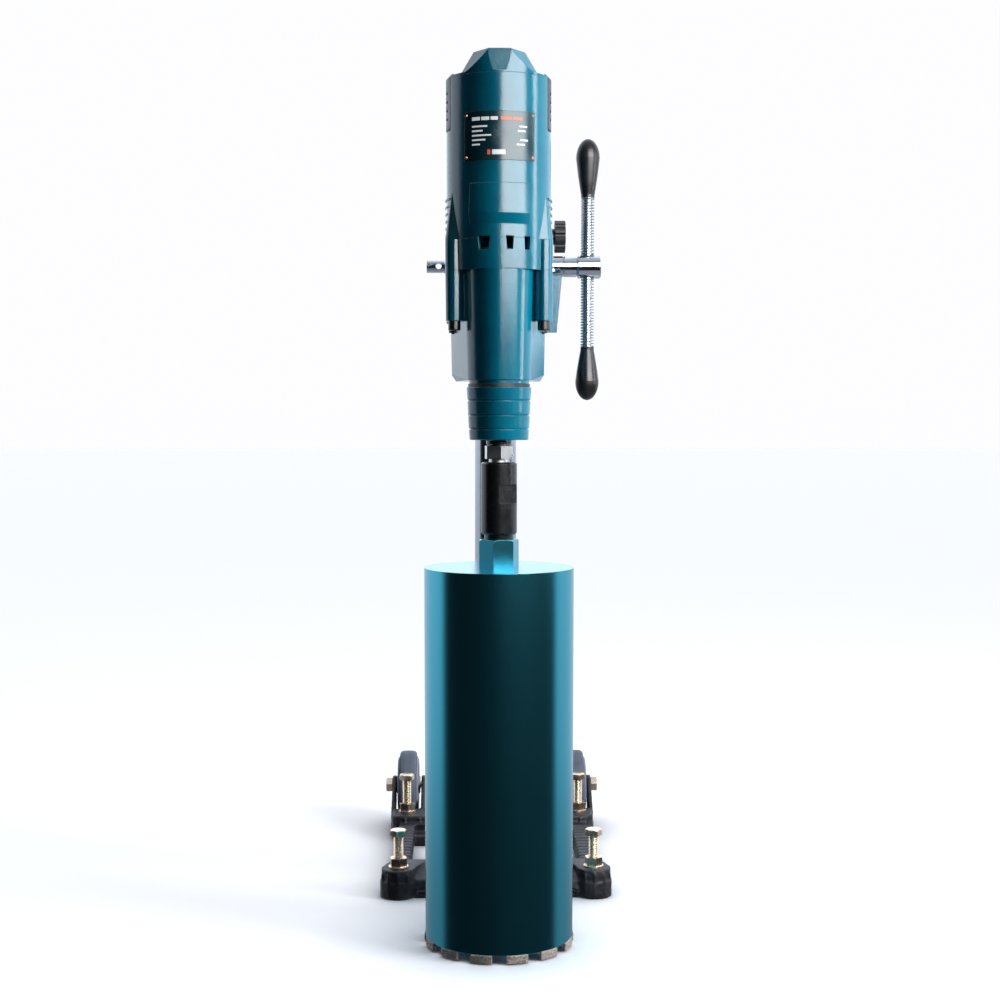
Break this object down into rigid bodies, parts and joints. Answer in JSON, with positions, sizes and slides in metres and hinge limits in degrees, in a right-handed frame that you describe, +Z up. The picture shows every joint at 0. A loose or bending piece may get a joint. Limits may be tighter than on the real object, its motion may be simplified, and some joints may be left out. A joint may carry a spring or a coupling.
{
  "type": "core drill rig",
  "caption": "Electric core drill with a diamond core bit on a rack-fed carriage, a round column and a wheeled base that is levelled by bolts.",
  "frame": {"origin": "on the floor, at the centre of the outline of the rig at rest", "axes": "+Z up along the column and the spindle, -Y towards the bit, +X towards the crank handle"},
  "size_m": [0.2988, 0.6478, 0.956],
  "materials": {
    "teal_paint": "crinkle paint, semi-gloss",
    "bit_paint": "smooth satin paint",
    "black_casting": "textured black paint on a sand casting",
    "chrome": "bright chrome",
    "steel": "machined",
    "laminations": "stacked sheet with copper windings",
    "aluminium": "machined",
    "bearing_steel": "ground",
    "zinc_yellow": "yellow passivated zinc",
    "rubber_grey": "matt grey rubber",
    "wheel_plastic": "moulded",
    "black_plastic": "fine grain",
    "grip_plastic": "satin",
    "black_oxide": "black oxide, oiled",
    "bronze": "machined",
    "brass": "machined",
    "copper": "bright",
    "nameplate": "printed film on sheet",
    "segment": "sintered diamond grit",
    "red_plastic": "moulded"
  },
  "bodies": {
    "stand": {"base_casting": "black_casting", "column_tube": "chrome", "column_foot": "black_casting", "foot_bolts": "zinc_yellow", "column_rack": "steel", "column_cap": "black_plastic", "jack_nuts": "zinc_yellow", "axle_bolts": "zinc_yellow"},
    "left_wheel": {"left_tyre": "rubber_grey", "left_wheel_hub": "wheel_plastic"},
    "right_wheel": {"right_tyre": "rubber_grey", "right_wheel_hub": "wheel_plastic"},
    "jack_front_left": {"jack_bolt_front_left": "zinc_yellow"},
    "jack_front_right": {"jack_bolt_front_right": "zinc_yellow"},
    "jack_rear_left": {"jack_bolt_rear_left": "zinc_yellow"},
    "jack_rear_right": {"jack_bolt_rear_right": "zinc_yellow"},
    "carriage": {"carriage_casting": "teal_paint", "column_bushes": "bronze", "pinion_bushes": "bronze", "motor_mount": "teal_paint", "mount_bolts": "zinc_yellow", "motor_housing": "teal_paint", "top_cap": "teal_paint", "side_covers": "black_plastic", "nameplate": "nameplate", "nameplate_rivets": "copper", "vent_ring": "teal_paint", "gearbox_housing": "teal_paint", "gearbox_screws": "black_oxide", "bearing_plate": "aluminium", "ball_bearings": "bearing_steel", "nose_collar": "teal_paint", "nose_seal": "black_plastic", "field_core": "laminations", "brush_holders": "brass", "water_valve": "brass", "switch_box": "black_plastic", "cable_gland": "black_plastic"},
    "water_tap": {"water_lever": "black_plastic"},
    "switch": {"switch_button": "red_plastic"},
    "lock": {"lock_knob": "black_plastic"},
    "spindle_line": {"spindle": "steel", "spindle_gear": "steel", "spindle_ring": "black_oxide", "adapter": "black_oxide", "bit_hub": "bit_paint", "bit_tube": "bit_paint", "bit_segments": "segment"},
    "idler": {"idler_shaft": "steel", "idler_gear": "steel"},
    "armature": {"armature_shaft": "steel", "armature_core": "laminations", "commutator": "copper", "cooling_fan": "black_plastic"},
    "crank": {"pinion_shaft": "steel", "crank_hub": "chrome"},
    "handle": {"handle_rod": "chrome", "handle_grips": "grip_plastic", "handle_spring_upper": "chrome", "handle_spring_lower": "chrome"}
  },
  "joints": [
    {"name": "carriage_slide", "type": "slide", "parent": "stand", "child": "carriage", "axis": [0, 0, 1], "range_m": [-0.45, 0.1]},
    {"name": "spindle_spin", "type": "hinge", "parent": "carriage", "child": "spindle_line", "pos_m": [0, -0.242, 0.6], "axis": [0, 0, 1], "continuous": true},
    {"name": "idler_spin", "type": "hinge", "parent": "carriage", "child": "idler", "pos_m": [0, -0.2045, 0.65], "axis": [0, 0, 1], "continuous": true},
    {"name": "armature_spin", "type": "hinge", "parent": "carriage", "child": "armature", "pos_m": [0, -0.224, 0.8], "axis": [0, 0, 1], "continuous": true},
    {"name": "crank_turn", "type": "hinge", "parent": "carriage", "child": "crank", "pos_m": [0, -0.087, 0.751], "axis": [1, 0, 0], "range_deg": [-400, 1750]},
    {"name": "handle_slide", "type": "slide", "parent": "crank", "child": "handle", "axis": [0, 0, 1], "range_m": [-0.02, 0.02], "stiffness_N_per_m": 1500, "springref_m": 0.0023, "deforming": ["handle_spring_upper", "handle_spring_lower"]},
    {"name": "lock_turn", "type": "hinge", "parent": "carriage", "child": "lock", "pos_m": [0, -0.07, 0.7872], "axis": [1, 0, 0], "range_deg": [-120, 0]},
    {"name": "water_tap_turn", "type": "hinge", "parent": "carriage", "child": "water_tap", "pos_m": [0, -0.184, 0.59], "axis": [0, 0, 1], "range_deg": [0, 90]},
    {"name": "switch_press", "type": "slide", "parent": "carriage", "child": "switch", "axis": [0, -1, 0], "range_m": [0, 0.0025], "stiffness_N_per_m": 400},
    {"name": "left_wheel_spin", "type": "hinge", "parent": "stand", "child": "left_wheel", "pos_m": [-0.118, 0.276, 0.057], "axis": [1, 0, 0], "continuous": true},
    {"name": "right_wheel_spin", "type": "hinge", "parent": "stand", "child": "right_wheel", "pos_m": [0.118, 0.276, 0.057], "axis": [1, 0, 0], "continuous": true},
    {"name": "jack_front_left_screw", "type": "slide", "parent": "stand", "child": "jack_front_left", "axis": [0, 0, 1], "range_m": [-0.012, 0.015]},
    {"name": "jack_front_right_screw", "type": "slide", "parent": "stand", "child": "jack_front_right", "axis": [0, 0, 1], "range_m": [-0.012, 0.015]},
    {"name": "jack_rear_left_screw", "type": "slide", "parent": "stand", "child": "jack_rear_left", "axis": [0, 0, 1], "range_m": [-0.012, 0.015]},
    {"name": "jack_rear_right_screw", "type": "slide", "parent": "stand", "child": "jack_rear_right", "axis": [0, 0, 1], "range_m": [-0.012, 0.015]}
  ],
  "couplings": [
    {"joint": "idler_spin", "follows": "spindle_spin", "ratio": -3.1667},
    {"joint": "armature_spin", "follows": "spindle_spin", "ratio": 10.556},
    {"joint": "crank_turn", "follows": "carriage_slide", "rad_per_m": -66.667}
  ]
}
